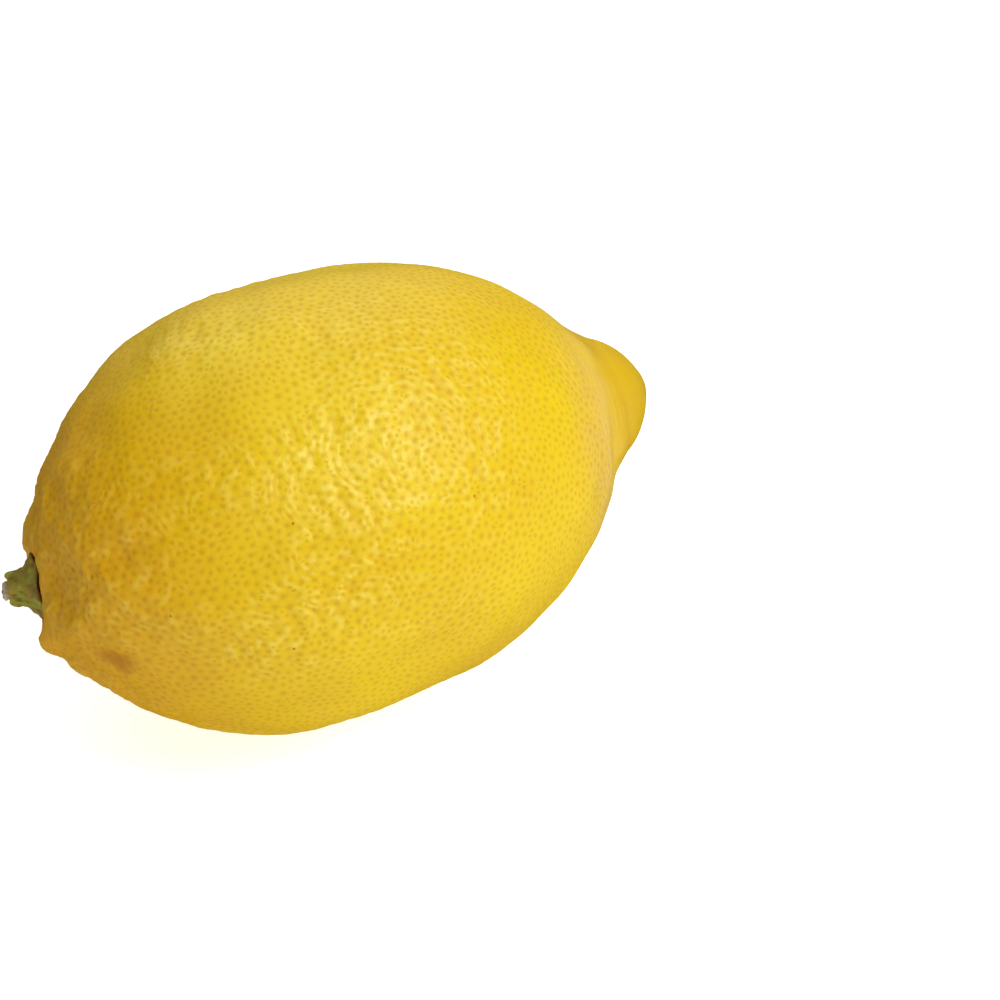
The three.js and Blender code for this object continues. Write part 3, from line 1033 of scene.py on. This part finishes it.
@dataclass
class Rind:
    """The whole fruit's skin, in mm, with its pores, ripples, ridges in rings, wrinkles and tints."""

    form: FruitForm
    finish: RindFinish = field(default_factory=RindFinish)
    net: PoreNet = field(default_factory=PoreNet)
    ripple_height: float = 0.075
    ripples: Swells = ((0.75, Waves(2.6, 410, 14, 0.5)), (0.7, Waves(4.1, 520, 12, 0.4)))
    ridge_height: float = 0.035
    ridge_patches: Waves = Waves(2.6, 930, 12)
    ring_gap: float = 1.7
    ring_wavers: Swells = ((1.1, Waves(11, 33)), (0.4, Waves(4.2, 911)))
    swirl_x: float = 7.0
    swirl_turn: float = 130.0
    wrinkle_height: float = 0.26
    wrinkle_reach: float = 13.0
    wrinkle_crests: Waves = Waves(2.9, 720, 14, -0.3)
    crest_width: float = 0.55
    crest_mean: float = 0.4
    wrinkle_lumps: Swells = ((0.5, Waves(5.0, 810)),)
    plain_rough: float = 0.12
    least_rough: float = 0.03
    rough_drift: Swells = ((0.15, Waves(19, 640)),)
    smooth_tip: tuple[float, float] = (37.0, 45.0)
    rough_places: tuple[RoundForm, ...] = (
        RoundForm(5.0, 128.0, 15.0, 0.8),
        RoundForm(-9.0, 160.0, 11.0, 0.55),
        RoundForm(22.0, 105.0, 11.0, 0.35),
        RoundForm(-12.0, 40.0, 12.0, 0.35),
        RoundForm(0.0, 80.0, 12.0, 0.3),
        RoundForm(-6.0, 320.0, 14.0, 0.6),
        RoundForm(24.0, 255.0, 10.0, 0.5),
        RoundForm(-20.0, 235.0, 9.0, 0.4),
        RoundForm(-36.0, 120.0, 11.0, 0.5),
        RoundForm(-33.0, 158.0, 8.0, 0.4),
    )

    def rings(self, base: Array, place: Place, turn: Array) -> Array:
        """Number of the ring about the swirl's middle that each place lies on.

        Args:
            base: Points of the plain turned outline.
            place: Places on the outline.
            turn: The turn round the axis at each of them.

        Returns:
            The way over the skin from the middle (the root of the squares of the ways along the axis and
            round it), wavered by waves 11 and 4.2 mm long, over the distance between two rings.
        """
        round_way = turn_between(turn, np.radians(self.swirl_turn)) * place.r
        away = np.hypot(place.x - self.swirl_x, round_way)
        return (away + swell(self.ring_wavers, base)) / self.ring_gap

    def rough(self, base: Array, place: Place, turn: Array) -> Array:
        """How rough the skin is, 0 to 1: the sum of the rough places, with a drift, held at its ends."""
        rough = sum(spot.rise(place.x, place.r, turn) for spot in self.rough_places)
        return np.clip(self.plain_rough + rough + swell(self.rough_drift, base), self.least_rough, 1.0)

    def wrinkles(self, base: Array, stem_end: Array) -> Array:
        """Wrinkles of the shoulder: a bell of short waves for their crests, with longer waves added."""
        crest = bell(self.wrinkle_crests.at(base), self.crest_width) - self.crest_mean
        fade = bell(stem_end, self.wrinkle_reach)
        return self.wrinkle_height * fade * (crest + swell(self.wrinkle_lumps, base))

    def tints(self, place: Place, turn: Array, stem_end: Array) -> dict[str, Array]:
        """Tints that follow the fruit's form.

        Args:
            place: Places on the outline.
            turn: The turn round the axis at each of them.
            stem_end: Distance of each of them from the stem's end, along the axis.

        Returns:
            Weights, 0 to 1, by the names that the finish reads: riper towards the stem, partly as
            painted shade, tan round the stem and the neck, creases on the neck's deep side, brown
            painted shade under the button, golden at the tip.
        """
        away, side = self.form.neck_place(place.x, turn)
        return {
            # Riper towards the stem: partly real, partly painted shade on the stem side.
            "ripe_and_shade": 0.85 * smooth_step(-6.0, -44.0, place.x),
            "stem": bell(stem_end, 7.5) * smooth_step(6.0, 9.0, place.r),
            "neck": bell(away + 3.0, 5.0) * (0.65 + 0.35 * side),
            "crease": bell(away + 1.5, 3.6) * side,
            # Painted shade: brown in the ring under the button.
            "seat_shade": np.where(place.x < 0, 0.6 * smooth_step(5.2, 4.8, place.r), 0.0),
            "tip": 0.8 * smooth_step(43.0, 46.5, place.x),
        }

    def build(self, effects: SharedEffects) -> bpy.types.Object:
        """Builds and dresses the skin.

        Args:
            effects: The shared node groups.

        Returns:
            The piece, which replaces the node of the fruit.
        """
        outline = self.form.outline()
        share, turn, pore, faces = self.net.cells(outline)
        place = outline.at_share(share)
        base = place.turned(turn)
        stem_end = place.x + self.form.stem_side.length
        smooth = smooth_step(*self.smooth_tip, place.x)
        pore = pore * (1.0 - 0.85 * smooth) * (1.0 - 0.4 * bell(stem_end, 5.0))
        rough = self.rough(base, place, turn) * (1.0 - smooth)
        ripple = rough * swell(self.ripples, base)
        wrinkle = self.wrinkles(base, stem_end) * smooth_step(6.5, 10.0, place.r)
        ring = self.rings(base, place, turn)
        patches = smooth_step(-0.5, 0.7, self.ridge_patches.at(base))
        ridge = rough * patches * (1.0 - 0.6 * bell(stem_end, 12.0))
        ridges = self.ridge_height * ridge * np.sin(2.0 * np.pi * ring)
        fine = self.ripple_height * ripple + ridges + wrinkle
        points = self.form.points(place, turn, fine - self.net.depth * pore)
        piece = make_piece("rind_skin", points, face_out(points, faces))
        relief = np.clip(0.5 + 0.15 * ripple + 0.7 * wrinkle, 0.0, 1.0)
        add_values(piece, {"pore": pore, "ring": ring, "ridge": ridge, "relief": relief})
        add_values(piece, self.tints(place, turn, stem_end))
        piece.data.materials.append(self.finish.material(effects, self.form))
        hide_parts("rind")
        return piece


@dataclass
class Button:
    """The button that stays on the fruit: a ridged knob on five sepals."""

    form: FruitForm
    finish: ButtonFinish = field(default_factory=ButtonFinish)
    profile: tuple[tuple[float, float], ...] = (
        (-2.8, 0.0), (-2.8, 1.2), (-3.1, 1.5), (-3.6, 1.6), (-3.85, 1.85), (-3.7, 2.2), (-2.9, 2.5),
        (-2.1, 2.65), (-1.3, 3.0), (-0.5, 3.7), (0.0, 4.2), (0.35, 4.0), (0.6, 2.6), (0.65, 0.0),
    )
    sepals: int = 5
    ridges: int = 12
    sepal_reach: float = 0.34
    sepal_lift: float = 0.22
    ridge_height: float = 0.12
    wrinkles: int = 31
    wrinkle_height: float = 0.05
    knots: Swells = ((0.07, Waves(1.1, 90, 11)), (0.09, Waves(2.1, 190)))
    wide: float = 0.9
    wide_turn: float = 122.0
    wide_tuck: float = 0.15
    rows: int = 150
    columns: int = 220

    def build(self, effects: SharedEffects) -> bpy.types.Object:
        """Builds and dresses the button.

        Args:
            effects: The shared node groups.

        Returns:
            The piece. Its radius swings with the sepals' and the ridges' cosines of the turn, and fine
            wrinkles run outwards over the knob.
        """
        outline = smooth_outline(self.profile)
        share, turn, faces = closed_net(self.rows, self.columns)
        place = outline.at_share(share)
        skirt = smooth_step(-2.2, -0.3, place.x) * smooth_step(1.4, 3.4, place.r)
        sepal = np.cos(self.sepals * turn + 0.6 * np.sin(turn))
        ridge = np.cos(self.ridges * turn + 2.0 * np.sin(2 * turn))
        knob = smooth_step(1.6, 2.4, place.r)
        flat = place.turned(turn)
        wave = np.cos(self.wrinkles * turn + 3.0 * np.sin(place.x * 1.7))
        wrinkle = wave * self.wrinkle_height * knob
        knots = swell(self.knots, flat)
        wide = self.wide * np.maximum(np.cos(turn - np.radians(self.wide_turn)), 0.0)
        r = place.r + skirt * (self.sepal_reach * sepal + wide) + self.ridge_height * ridge * knob
        r = r + (wrinkle + knots * knob) * place.out_r
        lift = skirt * (self.sepal_lift * sepal - self.wide_tuck * wide)
        x = place.x - lift + knots * place.out_x * 0.6
        points = self.form.on_stem(x, np.maximum(r, 0.0), turn)
        piece = make_piece("calyx_skin", points, face_out(points, faces))
        edge = smooth_step(-0.15, 0.35, place.x + 0.25 * knots)
        # Painted shade in the hollows of the wrinkles and knots on the knob.
        hollow_shade = np.clip(-2.2 * (wrinkle + knots) * knob - 0.05, 0.0, 0.6)
        add_values(piece, {"edge": edge, "hollow_shade": hollow_shade})
        piece.data.materials.append(self.finish.material(effects))
        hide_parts("calyx")
        return piece


@dataclass
class StemStub:
    """The dry, broken end of the stem."""

    form: FruitForm
    finish: StubFinish = field(default_factory=StubFinish)
    profile: tuple[tuple[float, float], ...] = (
        (-4.8, 0.0), (-4.75, 0.75), (-4.5, 1.2), (-3.9, 1.2), (-3.4, 1.0), (-3.15, 0.6), (-3.1, 0.0),
    )
    ridges: int = 7
    ridge_height: float = 0.08
    fibres: int = 19
    fibre_height: float = 0.025
    ragged: Swells = ((0.09, Waves(0.7, 300, 10)),)
    pit_radius: float = 0.42
    pit_depth: float = 0.35
    rows: int = 90
    columns: int = 120

    def build(self, effects: SharedEffects) -> bpy.types.Object:
        """Builds and dresses the stub.

        Args:
            effects: The shared node groups.

        Returns:
            The piece: a short ridged peg whose broken face is sunk in the middle and ragged.
        """
        outline = smooth_outline(self.profile)
        share, turn, faces = closed_net(self.rows, self.columns)
        place = outline.at_share(share)
        ridge = np.cos(self.ridges * turn) + 0.7 * np.cos(3 * turn + 1.0)
        wave = np.cos(self.fibres * turn + 1.5 * np.sin(3 * turn))
        fibre = 0.5 * wave * smooth_step(0.3, 0.9, place.r)
        r = place.r * (1.0 + self.ridge_height * ridge + self.fibre_height * fibre)
        face = smooth_step(-4.2, -4.6, place.x)
        flat = place.turned(turn)
        ragged = swell(self.ragged, flat) * face
        sunk_pit = bell(np.hypot(flat[:, 1] - 0.15, flat[:, 2] + 0.1), self.pit_radius) * face
        x = place.x + self.pit_depth * sunk_pit + ragged + 0.05 * face
        points = self.form.on_stem(x, r, turn)
        out = np.maximum(-4.0 - x, 0.0)
        points[:, 1] -= 0.25 * out
        points[:, 2] -= 0.45 * out
        piece = make_piece("stem_stub_wood", points, face_out(points, faces))
        # The sunk middle also takes the painted shade.
        add_values(piece, {"sunk_pit": np.clip(sunk_pit * 1.2, 0.0, 0.95)})
        piece.data.materials.append(self.finish.material(effects))
        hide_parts("stem_stub")
        return piece


def smooth_outline(profile: tuple[tuple[float, float], ...]) -> Outline:
    """A smooth outline through a few given places.

    Args:
        profile: Pairs of place and radius, from the outer end inwards.

    Returns:
        The outline: a uniform Catmull-Rom curve through the places, with no radius below nothing.
    """
    knots = np.array(profile)
    ends = np.concatenate([knots[:1], knots, knots[-1:]])
    t = np.linspace(0.0, len(knots) - 1 - 1e-9, 1200)
    i = t.astype(int)
    t = (t - i)[:, None]
    p0, p1, p2, p3 = ends[i], ends[i + 1], ends[i + 2], ends[i + 3]
    v0, v1 = (p2 - p0) / 2.0, (p3 - p1) / 2.0
    curve = (2 * p1 - 2 * p2 + v0 + v1) * t**3 + (-3 * p1 + 3 * p2 - 2 * v0 - v1) * t**2 + v0 * t + p1
    curve[[0, -1], 1] = 0.0
    return Outline(curve[:, 0], np.maximum(curve[:, 1], 0.0))


# The studio


@dataclass(frozen=True)
class Lamp:
    """A soft square light: where it stands from the fruit, its side, power, and if it shows in gloss."""

    name: str
    way: tuple[float, float, float]
    away: float
    side: float
    power: float
    in_gloss: bool = True


@dataclass
class Studio:
    """A pale floor, soft lights and the camera."""

    azimuth: float = -25.49
    elevation: float = 46.0
    target: tuple[float, float, float] = (21.83, -12.56, 32.22)
    distance: float = 399.8
    lens: float = 100.0
    floor_side: float = 6.0
    floor_glow: float = 0.36
    floor_seen: float = 0.3
    lamps: tuple[Lamp, ...] = (
        Lamp("key", (0.44, -0.47, 0.76), 0.9, 0.45, 4.9),
        Lamp("overhead", (0.22, 0.45, 0.87), 1.4, 1.5, 6.2),
        Lamp("fill", (-0.36, -0.74, 0.55), 1.6, 1.0, 5.5, in_gloss=False),
        Lamp("back", (0.3, 0.9, 0.4), 1.4, 1.4, 5.5),
    )
    lamp_aim: tuple[float, float, float] = (0.0, 0.0, 0.032)
    sky: float = 0.14
    sensor: float = 36.0

    def build(self) -> None:
        """Sets up the floor, the lights, the world, the camera and the view's transform."""
        self.build_floor()
        self.build_world()
        for lamp in self.lamps:
            self.build_lamp(lamp)
        self.build_camera()
        bpy.context.scene.view_settings.view_transform = "Standard"

    def build_floor(self) -> None:
        """A wide plain floor under the fruit that glows a little to look white."""
        half = self.floor_side / 2.0
        mesh = bpy.data.meshes.new("floor")
        corners = [(-half, -half, 0.0), (half, -half, 0.0), (half, half, 0.0), (-half, half, 0.0)]
        mesh.from_pydata(corners, [], [(0, 1, 2, 3)])
        floor = bpy.data.objects.new("floor", mesh)
        bpy.context.scene.collection.objects.link(floor)
        fixed = {"Roughness": 0.9, "Specular IOR Level": 0.1, "Emission Color": (1.0, 1.0, 1.0, 1.0)}
        material, graph, shader = new_material("pale_floor", fixed)
        drift = graph.remap(graph.noise(graph.place(), 3.0), 0.3, 0.7)
        colour = graph.mix(drift, tone("f4f4f2"), tone("f7f7f6"))
        seen = graph.add("LightPath").outputs["Is Camera Ray"]
        glow = graph.maths("MULTIPLY_ADD", seen, self.floor_seen, self.floor_glow)
        graph.fill(shader, {"Base Color": colour, "Emission Strength": glow})
        mesh.materials.append(material)
        floor.visible_glossy = False

    def build_world(self) -> None:
        """An even sky that looks white and lights the fruit only a little."""
        world = bpy.data.worlds.new("sky")
        world.use_nodes = True
        background = world.node_tree.nodes["Background"]
        graph = Graph(world.node_tree)
        seen = graph.add("LightPath").outputs["Is Camera Ray"]
        strength = graph.add("MapRange", {0: seen, 3: self.sky, 4: 1.0}).outputs[0]
        graph.fill(background, {"Color": (1.0, 1.0, 1.0, 1.0), "Strength": strength})
        world.cycles_visibility.glossy = False
        bpy.context.scene.world = world

    def build_lamp(self, lamp: Lamp) -> None:
        """Places a light that faces the fruit."""
        data = bpy.data.lights.new(lamp.name, "AREA")
        data.shape = "SQUARE"
        data.size = lamp.side
        data.energy = lamp.power
        light = bpy.data.objects.new(lamp.name, data)
        way = Vector(lamp.way).normalized()
        light.rotation_euler = way.to_track_quat("Z", "Y").to_euler()
        light.location = way * lamp.away + Vector(self.lamp_aim)
        light.visible_glossy = lamp.in_gloss
        bpy.context.scene.collection.objects.link(light)

    def build_camera(self) -> None:
        """Places the camera: its back points at the azimuth and elevation, away from the target."""
        turn, rise = np.radians(self.azimuth), np.radians(self.elevation)
        back = Vector((np.sin(turn) * np.cos(rise), -np.cos(turn) * np.cos(rise), np.sin(rise)))
        right = Vector((np.cos(turn), np.sin(turn), 0.0))
        basis = Matrix((right, back.cross(right), back)).transposed()
        data = bpy.data.cameras.new("camera")
        data.lens = self.lens
        data.sensor_width = self.sensor
        data.clip_start = 0.01
        camera = bpy.data.objects.new("camera", data)
        eye = (Vector(self.target) + back * self.distance) * MM
        camera.matrix_world = Matrix.Translation(eye) @ basis.to_4x4()
        bpy.context.scene.collection.objects.link(camera)
        bpy.context.scene.camera = camera


def report(piece: bpy.types.Object) -> None:
    """Logs a finished piece's name and its number of faces."""
    log.info("%s: %d faces", piece.name, len(piece.data.polygons))


def main() -> None:
    """Builds the fruit's pieces in order, then the studio."""
    logging.basicConfig(level=logging.INFO, format="%(name)s: %(message)s")
    form = FruitForm()
    effects = SharedEffects()
    for part in (Rind(form), Button(form), StemStub(form)):
        report(part.build(effects))
    Studio().build()


if __name__ == "__main__":
    main()
